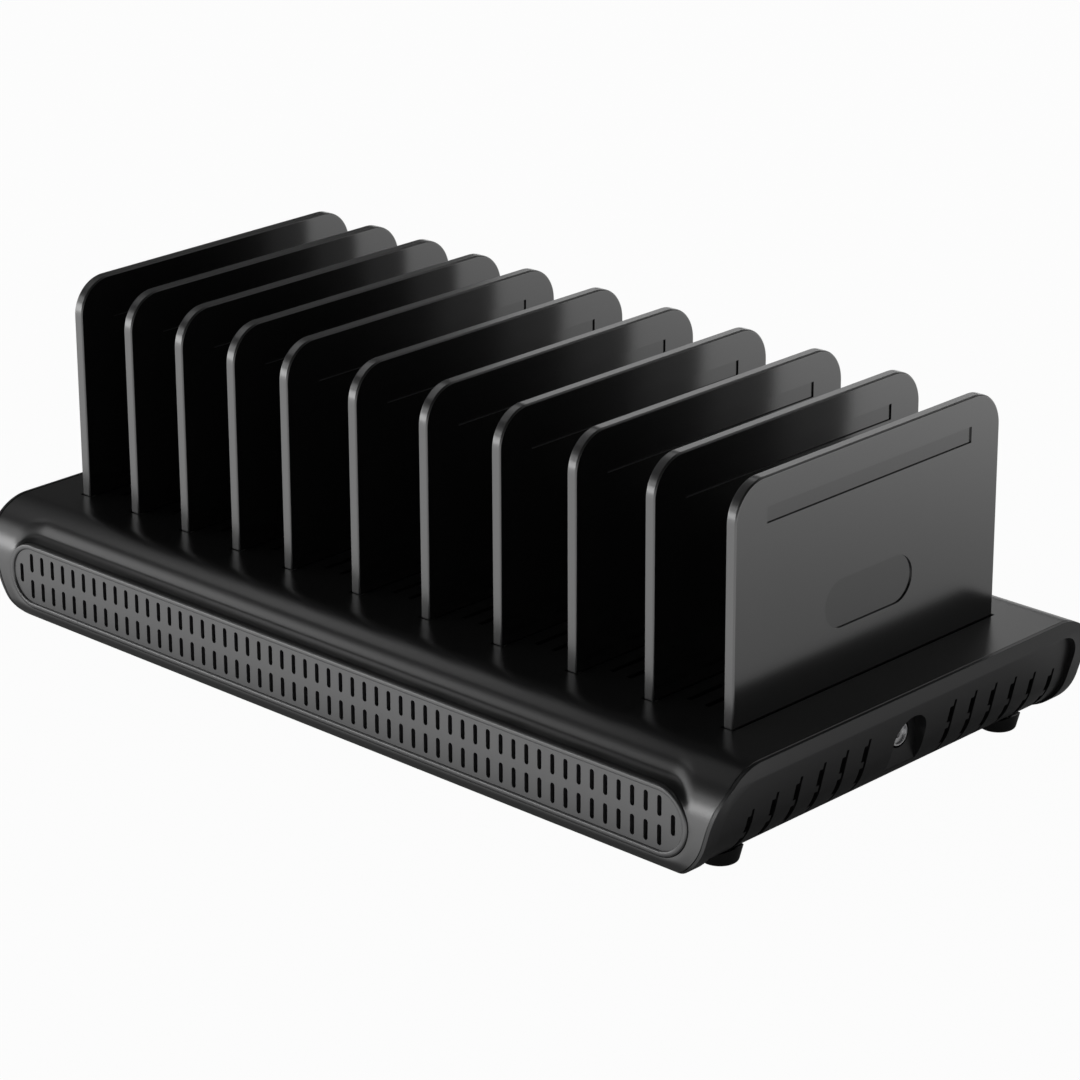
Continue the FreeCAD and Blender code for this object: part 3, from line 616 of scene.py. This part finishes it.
def block(name, low, high):
    shape = bmesh.new()
    bmesh.ops.create_cube(shape, size=1)
    bmesh.ops.scale(shape, vec=high - low, verts=shape.verts)
    bmesh.ops.translate(shape, vec=(low + high) / 2, verts=shape.verts)
    return new_piece(name, shape)


def centred_block(name, width, depth, height):
    half = Vector((width, depth, height)) / 2
    return block(name, -half, half)


def vent_points():
    points = []
    start = divider_low.y + VENT_INSET + VENT_LENGTH / 2
    for left, right in zip(divider_middles, divider_middles[1:]):
        columns = 2 if right - left < NARROW_BAY else 3
        for column in range(columns):
            x = (left + right) / 2 + (column - (columns - 1) / 2) * VENT_SPREAD
            points += [(x, start + row * VENT_PITCH, deck) for row in range(VENT_ROWS)]
    return points


def at_dividers(name, margin, inset, depth):
    """A cutter for every divider: its outline with a margin, and shorter by an inset at both ends."""
    width = divider_high.x - divider_low.x + 2 * margin
    length = divider_high.y - divider_low.y - 2 * inset + 2 * margin
    shape = centred_block("divider_cut", width, length, 2 * depth)
    middle = (divider_low.y + divider_high.y) / 2
    return repeated(name, shape, [(x, middle, deck) for x in divider_middles], "shell_black")


def oval_cutter(name, y):
    """A bar with round ends, as large as the grille's ring plus the fit, across the wall at y."""
    shape = bmesh.new()
    radius = ring_round + FIT
    depth = ring_high.y - ring_low.y
    corners = []
    for side in (1, -1):
        for step in range(OVAL_STEPS + 1):
            angle = math.pi * (step / OVAL_STEPS - side / 2)
            x = side * (ring_high.x - ring_round) + radius * math.cos(angle)
            corners.append(shape.verts.new((x, y - depth, ring_middle + radius * math.sin(angle))))
    face = shape.faces.new(corners)
    far = bmesh.ops.extrude_face_region(shape, geom=[face])["geom"]
    moved = [item for item in far if isinstance(item, bmesh.types.BMVert)]
    bmesh.ops.translate(shape, vec=(0, 2 * depth, 0), verts=moved)
    bmesh.ops.recalc_face_normals(shape, faces=shape.faces)
    return new_piece(name, shape)


def rail(name, y):
    top = deck - WALL - GAP
    low = Vector((divider_middles[0] - RAIL_MARGIN, y, top - RAIL_HEIGHT))
    high = Vector((divider_middles[-1] + RAIL_MARGIN, y + RAIL_WIDTH, top))
    return block(name, low, high)


vent = centred_block("vent", VENT_WIDTH, VENT_LENGTH, 4 * WALL)
vents = repeated("vents", vent, vent_points(), "shell_black")
ovals = [oval_cutter("front_oval", casing_low.y), oval_cutter("rear_oval", casing_high.y)]
front_rail = rail("front_rail", divider_low.y + RAIL_INSET)
rear_rail = rail("rear_rail", divider_high.y - RAIL_INSET - RAIL_WIDTH)
slots = at_dividers("slots", FIT, TONGUE_INSET, deck - divider_low.z + FIT)
seams = at_dividers("seams", SEAM_WIDTH, 0, SEAM_DEPTH)
cut_by(joined(casing, front_rail, rear_rail), vents, slots, seams, *ovals)
finished(casing, "shell_black", "base", "top_shell")

# %% [markdown]
# # An oval panel with openings
# The grille and the rear panel have the same build: an oval ring with a sunk plate inside it. The ring
# is a rounded profile swept along an oval path. The plate is a filled curve: one oval outline and one
# small outline on every point, filled so that the small ones stay open, then given a thickness. Drawing
# it as curves keeps each slot's round ends exact.

# %% Oval panel tree
ROUND_STEPS = 4


def rounded_box(sheet, width, height, radius, count):
    box = sheet.node("GeometryNodeCurvePrimitiveQuadrilateral", {"mode": "RECTANGLE"},
                     {"Width": width, "Height": height})
    return sheet.node("GeometryNodeFilletCurve", {"mode": "POLY"},
                      {"Curve": box, "Radius": radius, "Limit Radius": True, "Count": count})


def thickened(sheet, flat, depth):
    """A closed plate: the lifted face with its walls, and a turned copy that closes the back."""
    lifted = sheet.node("GeometryNodeExtrudeMesh", {"mode": "FACES"},
                        {"Mesh": flat, "Offset Scale": depth, "Individual": False})
    back = sheet.node("GeometryNodeFlipFaces", {}, {"Mesh": flat})
    both = sheet.node("GeometryNodeJoinGeometry", {}, {"Geometry": [lifted, back]})
    return sheet.node("GeometryNodeMergeByDistance", {}, {"Geometry": both, "Distance": JOIN_DISTANCE})


def raised(sheet, geometry, height):
    offset = sheet.node("ShaderNodeCombineXYZ", {}, {"Z": height})
    return sheet.node("GeometryNodeSetPosition", {}, {"Geometry": geometry, "Offset": offset})


def oval_panel_tree():
    lengths = ("Length", "Height", "Depth", "Ring Width", "Ring Ease", "Plate Drop", "Plate Thickness",
               "Opening Width", "Opening Height", "Opening Round")
    kinds = {label: "Float" for label in lengths}
    sheet, entry = geometry_tree("oval_panel", {**kinds, "Finish": "Material"})
    path_length = entry["Length"] - entry["Ring Width"]
    path_height = entry["Height"] - entry["Ring Width"]
    path = rounded_box(sheet, path_length, path_height, path_height / 2, OVAL_STEPS)
    profile = rounded_box(sheet, entry["Ring Width"], entry["Depth"], entry["Ring Ease"], ROUND_STEPS)
    ring = sheet.node("GeometryNodeCurveToMesh", {}, {"Curve": path, "Profile Curve": profile})
    opening = rounded_box(sheet, entry["Opening Width"], entry["Opening Height"], entry["Opening Round"],
                          ROUND_STEPS)
    spread = sheet.node("GeometryNodeInstanceOnPoints", {},
                        {"Points": entry["Geometry"], "Instance": opening})
    openings = sheet.node("GeometryNodeRealizeInstances", {}, {"Geometry": spread})
    outlines = sheet.node("GeometryNodeJoinGeometry", {}, {"Geometry": [path, openings]})
    flat = sheet.node("GeometryNodeFillCurve", {"mode": "TRIANGLES"}, {"Curve": outlines})
    plate = thickened(sheet, flat, entry["Plate Thickness"])
    sunk = raised(sheet, plate, 0 - entry["Plate Drop"] - entry["Plate Thickness"])
    whole = sheet.node("GeometryNodeJoinGeometry", {},
                       {"Geometry": [raised(sheet, ring, entry["Depth"] / -2), sunk]})
    return closed_tree(sheet, whole, entry["Finish"])


oval_panel = oval_panel_tree()
print(len(oval_panel.nodes), "nodes in the oval panel's tree")

# %% [markdown]
# # Grille and rear panel
# The grille has two rows of narrow upright slots and one more slot, centred, at each end. The rear
# panel has one opening for each port, so its points come from the ports' own boxes. The tree lays a
# panel flat, and a turn stands it up against the front or the rear of the casing.

# %% Grille and rear panel
RING_WIDTH = 1.6 * MM
RING_EASE = 0.6 * MM
PLATE_DROP = 0.6 * MM
PLATE_THICKNESS = 1.6 * MM
SLOT_WIDTH = 1.4 * MM
SLOT_HEIGHT = 5.5 * MM
SLOT_PITCH = 4.4 * MM
SLOT_COLUMNS = 54
ROW_OFFSET = 3.85 * MM
END_SLOT_PLACE = 121.0 * MM
PORT_ROUND = 0.5 * MM

port_names = sorted(node for node in frame["nodes"] if node.startswith("usb_port_"))
port_boxes = [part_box(node) for node in port_names]


def stood_up(piece, place, half_turns):
    """Stand a flat panel up, with its face outwards, and move it to its place."""
    turn = Matrix.Rotation(math.pi * half_turns, 4, "Z") @ Matrix.Rotation(math.pi / 2, 4, "X")
    piece.data.transform(Matrix.Translation(place) @ turn)
    return piece


def slot_points():
    first = -SLOT_PITCH * (SLOT_COLUMNS - 1) / 2
    points = [(-END_SLOT_PLACE, 0, 0), (END_SLOT_PLACE, 0, 0)]
    for column in range(SLOT_COLUMNS):
        x = first + column * SLOT_PITCH
        points += [(x, -ROW_OFFSET, 0), (x, ROW_OFFSET, 0)]
    return points


def port_points():
    return [((low.x + high.x) / 2, (low.z + high.z) / 2 - ring_middle, 0) for low, high in port_boxes]


def panel_values(width, height, radius):
    return {"Length": ring_high.x - ring_low.x, "Height": 2 * ring_round, "Depth": ring_high.y - ring_low.y,
            "Ring Width": RING_WIDTH, "Ring Ease": RING_EASE, "Plate Drop": PLATE_DROP,
            "Plate Thickness": PLATE_THICKNESS, "Opening Width": width, "Opening Height": height,
            "Opening Round": radius, "Finish": finishes["grille_grey"]}


port_low, port_high = port_boxes[0]
slot_values = panel_values(SLOT_WIDTH, SLOT_HEIGHT, SLOT_WIDTH / 2)
port_width = port_high.x - port_low.x + 2 * FIT
port_height = port_high.z - port_low.z + 2 * FIT
port_values = panel_values(port_width, port_height, PORT_ROUND)
grille = grown("grille", oval_panel, slot_values, slot_points())
stood_up(grille, Vector((0, ring_low.y, ring_middle)), 0)
rear_panel = grown("rear_panel", oval_panel, port_values, port_points())
stood_up(rear_panel, Vector((0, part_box("port_panel")[1].y, ring_middle)), 1)
finished(with_flat_faces(grille), "grille_grey", "base", "front_grille")
finished(with_flat_faces(rear_panel), "grille_grey", "base", "port_panel")

# %% [markdown]
# # Ends, dividers and feet
# These already have their full shape in the frame. A CAD mesh comes in as loose triangles, so light
# breaks at every facet. A copy is joined at its corners, its flat facets are merged, and its shading is
# set. The end pieces' outer edge gets a small round that catches a line of light. The dividers' rims and
# the recesses in their sides are marked for their own finish. Each divider rides on its own body, so
# that it can be lifted out.

# %% Ends, dividers and feet
FLAT_ANGLE = math.radians(0.05)
EDGE_EASE = 0.4 * MM
EDGE_STEPS = 3
EDGE_PROFILE = 0.5
RECESS_LEAST = 0.1 * MM
SIDE_SHARE = 0.99


def outer_edges(shape):
    """The crisp edges along an end piece's outline, on its outer side."""
    outline = [spot.yz for spot, _ in casing_outline()]
    outer = set()
    for corner in shape.verts:
        on_top = corner.co.z > deck - EDGE_EASE
        beside = on_top or min((corner.co.yz - spot).length for spot in outline) < EDGE_EASE
        if beside and abs(corner.co.x) > end_reach(corner.co.z) + EDGE_EASE:
            outer.add(corner)
    return [edge for edge in shape.edges
            if outer.issuperset(edge.verts) and edge.calc_face_angle(0) > CRISP_ANGLE]


def ease_outline(shape):
    bmesh.ops.bevel(shape, geom=outer_edges(shape), offset=EDGE_EASE, segments=EDGE_STEPS,
                    profile=EDGE_PROFILE, affect="EDGES", clamp_overlap=True)


def mark_faces(shape):
    """Mark a divider's rim and the floors of the shallow recesses in its sides."""
    recess = shape.faces.layers.float.new("recess")
    rim = shape.faces.layers.float.new("rim")
    reach = (divider_high.x - divider_low.x) / 2 - RECESS_LEAST
    for face in shape.faces:
        spot = face.calc_center_median()
        depth = min(abs(spot.x - x) for x in divider_middles)
        on_side = abs(face.normal.x) > SIDE_SHARE
        face[recess] = float(on_side and depth < reach and spot.z > deck)
        face[rim] = float(not on_side)


def smooth_copy(node, name, prepare=None):
    shape = bmesh.new()
    shape.from_mesh(frame["nodes"][node].data)
    bmesh.ops.remove_doubles(shape, verts=shape.verts, dist=JOIN_DISTANCE)
    bmesh.ops.dissolve_limit(shape, angle_limit=FLAT_ANGLE, verts=shape.verts, edges=shape.edges)
    if prepare:
        prepare(shape)
    piece = with_flat_faces(new_piece(name, shape))
    return finished(piece, slot_of[node], body_of[node], node)


smooth_copy("left_end_cap", "left_end", ease_outline)
smooth_copy("right_end_cap", "right_end", ease_outline)
for node in divider_names:
    smooth_copy(node, node + "_plate", mark_faces)
for node in sorted(node for node in frame["nodes"] if node.startswith("foot_")):
    smooth_copy(node, node + "_rubber")

# %% [markdown]
# # Screws
# One screw is modelled: a shank, and a head with a cross recess that is cut by two thin blocks. It is
# repeated on points that come from the screws' boxes and the bays that hold them. The tray's screws
# point up from below, so their heads show only under the base. The board's screws point down.

# %% Screws
SCREW_STEPS = 24
CROSS_WIDTH_SHARE = 0.3
CROSS_REACH_SHARE = 1.3
CROSS_DEPTH_SHARE = 0.6
TRAY_HEAD = 2.8 * MM
TRAY_HEAD_HEIGHT = 1.2 * MM
TRAY_SHANK = 1.4 * MM
BOARD_HEAD = 2.2 * MM
BOARD_HEAD_HEIGHT = 1.5 * MM
BOARD_SHANK = 1.0 * MM
SCREWED_BAYS = (2, 5, 8)


def rod(name, radius, low, high):
    shape = bmesh.new()
    bmesh.ops.create_cone(shape, cap_ends=True, segments=SCREW_STEPS, radius1=radius, radius2=radius,
                          depth=high - low)
    bmesh.ops.translate(shape, vec=(0, 0, (low + high) / 2), verts=shape.verts)
    return new_piece(name, shape)


def screw(name, head, head_height, shank, length, points_up):
    """A screw that stands on its head at z = 0, or hangs from it."""
    top = rod(name, head, 0, head_height)
    reach = head * CROSS_REACH_SHARE
    width = head * CROSS_WIDTH_SHARE
    depth = 2 * head_height * CROSS_DEPTH_SHARE
    bars = [centred_block("cross_a", reach, width, depth), centred_block("cross_b", width, reach, depth)]
    cut_by(top, *bars)
    joined(top, rod("shank", shank, head_height + GAP, length))
    if not points_up:
        top.data.transform(Matrix.Scale(-1, 4, (0, 0, 1)))
    return top


def tray_screw_points(low, high):
    points = []
    for bay in SCREWED_BAYS:
        x = (divider_middles[bay] + divider_middles[bay + 1]) / 2
        points += [(x, low.y + TRAY_HEAD, low.z), (x, high.y - TRAY_HEAD, low.z)]
    return points


def board_screw_points(low, high):
    return [(x, y, high.z) for x in (low.x + BOARD_HEAD, high.x - BOARD_HEAD)
            for y in (low.y + BOARD_HEAD, high.y - BOARD_HEAD)]


low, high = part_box("tray_screws")
shape = screw("tray_screw", TRAY_HEAD, TRAY_HEAD_HEIGHT, TRAY_SHANK, high.z - low.z, True)
tray_screws = repeated("tray_screw_set", shape, tray_screw_points(low, high), "screw_steel")
finished(tray_screws, "screw_steel", "base", "tray_screws")
low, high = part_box("board_screws")
shape = screw("board_screw", BOARD_HEAD, BOARD_HEAD_HEIGHT, BOARD_SHANK, high.z - low.z, False)
board_screws = repeated("board_screw_set", shape, board_screw_points(low, high), "screw_steel")
finished(board_screws, "screw_steel", "base", "board_screws")

# %% [markdown]
# # Power inlet
# The inlet's sleeve and pin are turned parts, so each is an outline spun round the inlet's axis. The
# sleeve ends in a shallow cup round the pin, which catches the light and reads as a bright disc. Both
# stand a little further out than in the frame, so that the cup lies level with the pocket's wall.

# %% Power inlet
SPIN_STEPS = 48
SLEEVE_WALL = 0.5 * MM
CUP_DEPTH = 0.6 * MM
INLET_REACH = 1.1 * MM
PIN_GAP = 0.25 * MM
TURNED_EASE = 0.15 * MM
DOME_STEPS = 6


def turned(name, outline, y, z):
    """Spin a closed outline of (x, radius) places round the axis through (y, z)."""
    shape = bmesh.new()
    rings = []
    for step in range(SPIN_STEPS):
        angle = 2 * math.pi * step / SPIN_STEPS
        rings.append([shape.verts.new((x, y + radius * math.cos(angle), z + radius * math.sin(angle)))
                      for x, radius in outline])
    for ring, after in zip(rings, rings[1:] + rings[:1]):
        for place in range(len(outline)):
            shape.faces.new((ring[place - 1], ring[place], after[place], after[place - 1]))
    bmesh.ops.remove_doubles(shape, verts=shape.verts, dist=JOIN_DISTANCE)
    bmesh.ops.recalc_face_normals(shape, faces=shape.faces)
    return new_piece(name, shape)


def jack_sleeve():
    low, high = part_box("jack_sleeve")
    pin_low, pin_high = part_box("jack_pin")
    radius = (high.y - low.y) / 2
    bore = radius - SLEEVE_WALL
    hole = (pin_high.y - pin_low.y) / 2 + PIN_GAP
    mouth = high.x + INLET_REACH
    outline = [(low.x, radius), (mouth - TURNED_EASE, radius), (mouth, radius - TURNED_EASE), (mouth, bore),
               (mouth - CUP_DEPTH, bore), (mouth - CUP_DEPTH, hole), (low.x, hole)]
    return turned("inlet_sleeve", outline, (low.y + high.y) / 2, (low.z + high.z) / 2)


def jack_pin():
    low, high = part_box("jack_pin")
    radius = (high.y - low.y) / 2
    shoulder = high.x + INLET_REACH - radius
    outline = [(low.x, 0), (low.x, radius), (shoulder, radius)]
    for step in range(1, DOME_STEPS + 1):
        angle = math.pi / 2 * step / DOME_STEPS
        outline.append((shoulder + radius * math.sin(angle), radius * math.cos(angle)))
    return turned("inlet_pin", outline, (low.y + high.y) / 2, (low.z + high.z) / 2)


finished(jack_sleeve(), "contact_metal", "base", "jack_sleeve")
finished(jack_pin(), "contact_metal", "base", "jack_pin")

# %% [markdown]
# # Port contacts
# Inside each port, four flat contacts lie on the underside of the tongue. They are one thin block on
# four points for each tongue.

# %% Port contacts
CONTACT_COUNT = 4
CONTACT_PITCH = 2.4 * MM
CONTACT_WIDTH = 1.1 * MM
CONTACT_LENGTH = 7.0 * MM
CONTACT_THICKNESS = 0.1 * MM


def contact_points():
    points = []
    for node in sorted(node for node in frame["nodes"] if node.startswith("port_tongue_")):
        low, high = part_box(node)
        for number in range(CONTACT_COUNT):
            x = (low.x + high.x) / 2 + (number - (CONTACT_COUNT - 1) / 2) * CONTACT_PITCH
            points.append((x, high.y - CONTACT_LENGTH / 2, low.z - CONTACT_THICKNESS / 2))
    return points


contact = centred_block("contact", CONTACT_WIDTH, CONTACT_LENGTH, CONTACT_THICKNESS)
contacts = repeated("port_contacts", contact, contact_points(), "contact_metal")
finished(contacts, "contact_metal", "base")

# %% [markdown]
# # Inner pieces
# The tray, the board and the parts on it hardly show, so their CAD meshes stay. They only need a finish.

# %% Inner pieces
inner = [node for node, piece in frame["nodes"].items() if not piece.hide_render]
for node in inner:
    piece = frame["nodes"][node]
    piece.data.materials.clear()
    piece.data.materials.append(finishes[slot_of[node]])
print("dressed", len(inner), "inner pieces")

# %% [markdown]
# # Stage
# The photograph has a plain white ground. The floor here is a large pale sheet. The Light Path node
# tells which kind of ray arrives: the camera sees almost pure white, and the rest is a matt sheet that
# keeps a faint shadow. Black plastic mirrors the floor, so its mirror image matters too: it is white,
# but dark close to the base, and darker to the right and behind, where the base keeps the light away.

# %% Stage
FLOOR_REACH = 30.0
FLOOR_GAP = 0.05 * MM
FLOOR_GREY = 0.8
SEEN_SHARE = 0.97
CONTACT_REACH = 30.0 * MM
CONTACT_SHARE = 0.1
SHADOW_REACH = 420.0 * MM
SHADOW_SHARE = 0.25
SHADOW_EDGE = 30.0 * MM


def ramp(sheet, value, low, high, first, last):
    """A smooth step from the first level to the last one while the value goes from low to high."""
    return sheet.node("ShaderNodeMapRange", {"interpolation_type": "SMOOTHSTEP"}, {
        "Value": value, "From Min": low, "From Max": high, "To Min": first, "To Max": last})


def beyond(value):
    return value.maths("MAXIMUM", value, 0)


def distance(first, second):
    """The length of a step with two sides, counting only what lies beyond zero."""
    square = beyond(first) * beyond(first) + beyond(second) * beyond(second)
    return square.maths("POWER", square, 0.5)


def mirror_level(sheet):
    """How bright the floor is in the plastic's reflections."""
    place = sheet.node("ShaderNodeTexCoord", output="Object")
    x = sheet.node("ShaderNodeSeparateXYZ", {}, {"Vector": place}, output="X")
    y = sheet.node("ShaderNodeSeparateXYZ", {}, {"Vector": place}, output="Y")
    right = x - casing_high.x
    rear = y - casing_high.y
    front = casing_low.y - y
    near = distance(right, rear.maths("MAXIMUM", rear, front))
    contact = ramp(sheet, near, 0, CONTACT_REACH, CONTACT_SHARE, 1)
    shadow = ramp(sheet, distance(right, rear), 0, SHADOW_REACH, SHADOW_SHARE, 1)
    lit = ramp(sheet, front + beyond(right), -SHADOW_EDGE, SHADOW_EDGE, 0, 1)
    return contact * shadow.maths("MAXIMUM", shadow, lit)


def floor():
    shape = bmesh.new()
    bmesh.ops.create_grid(shape, x_segments=1, y_segments=1, size=FLOOR_REACH)
    bmesh.ops.translate(shape, vec=(0, 0, -FLOOR_GAP), verts=shape.verts)
    ground = new_piece("floor", shape)
    material = bpy.data.materials.new("pale_floor")
    material.use_nodes = True
    sheet = NodeSheet(material.node_tree)
    seen = sheet.node("ShaderNodeLightPath", output="Is Camera Ray")
    mirrored = sheet.node("ShaderNodeLightPath", output="Is Glossy Ray")
    through = sheet.node("ShaderNodeLightPath", output="Is Transmission Ray")
    share = (seen + through) * SEEN_SHARE + mirrored * mirror_level(sheet)
    matt = sheet.node("ShaderNodeBsdfDiffuse", {}, {"Color": grey(FLOOR_GREY)})
    white = sheet.node("ShaderNodeEmission", {}, {"Color": grey(1.0), "Strength": 1.0})
    surface = sheet.node("ShaderNodeMixShader", {}, {0: share, 1: matt, 2: white})
    sheet.node("ShaderNodeOutputMaterial", {}, {"Surface": surface})
    ground.data.materials.append(material)
    return ground


print("floor spans", [round(v) for v in floor().dimensions])

# %% [markdown]
# # Light
# Black plastic shows almost nothing but reflections, so each lamp is placed where a surface mirrors it.
# A broad low softbox in front lights the dividers' front edges. Two strips high on the left draw the
# bands along the rounded shoulder. Two boxes behind light the rear of the deck, and a weak one behind on
# the right draws a thin line on the top edges. The sky is dim above, so that the deck and the dividers'
# faces stay deep black.

# %% Light
AIM = Vector((0, 0, 0.04))
SKY_STOPS = [(0.0, 0.7), (0.1, 0.2), (0.24, 0.025), (1.0, 0.02)]
lamps = {
    "low_front_strip": {"place": (-0.86, -0.83, 0.17), "size": (1.2, 0.3), "power": 3.4},
    "left_strip": {"place": (-0.84, -0.70, 0.49), "size": (0.9, 0.16), "power": 0.5},
    "upper_strip": {"place": (-0.78, 0.12, 0.91), "size": (1.2, 0.2), "power": 0.56},
    "low_rear_box": {"place": (-0.6, 0.85, 0.45), "size": (0.35, 0.3), "power": 0.26},
    "back_fill": {"place": (-0.1, 1.2, 0.5), "size": (0.8, 0.5), "power": 1.2},
    "rear_right_box": {"place": (0.5, 0.95, 0.95), "size": (0.8, 0.8), "power": 0.65},
}


def softbox(name, place, size, power):
    data = bpy.data.lights.new(name, "AREA")
    data.shape = "RECTANGLE"
    data.size, data.size_y = size
    data.energy = power
    lamp = bpy.data.objects.new(name, data)
    lamp.location = place
    lamp.rotation_euler = (AIM - Vector(place)).to_track_quat("-Z", "Y").to_euler()
    scene.collection.objects.link(lamp)
    return lamp


def studio_sky():
    world = bpy.data.worlds.new("studio_sky")
    world.use_nodes = True
    scene.world = world
    sheet = NodeSheet(world.node_tree)
    direction = sheet.node("ShaderNodeTexCoord", output="Generated")
    height = sheet.node("ShaderNodeSeparateXYZ", {}, {"Vector": direction}, output="Z")
    level = sheet.node("ShaderNodeValToRGB", {"stops": SKY_STOPS}, {"Fac": height})
    light = sheet.node("ShaderNodeBackground", {}, {"Color": level, "Strength": 1.0})
    sheet.node("ShaderNodeOutputWorld", {}, {"Surface": light})


for name, lamp in lamps.items():
    softbox(name, **lamp)
studio_sky()
scene.view_settings.view_transform = "Standard"
print(len(lamps), "lamps")
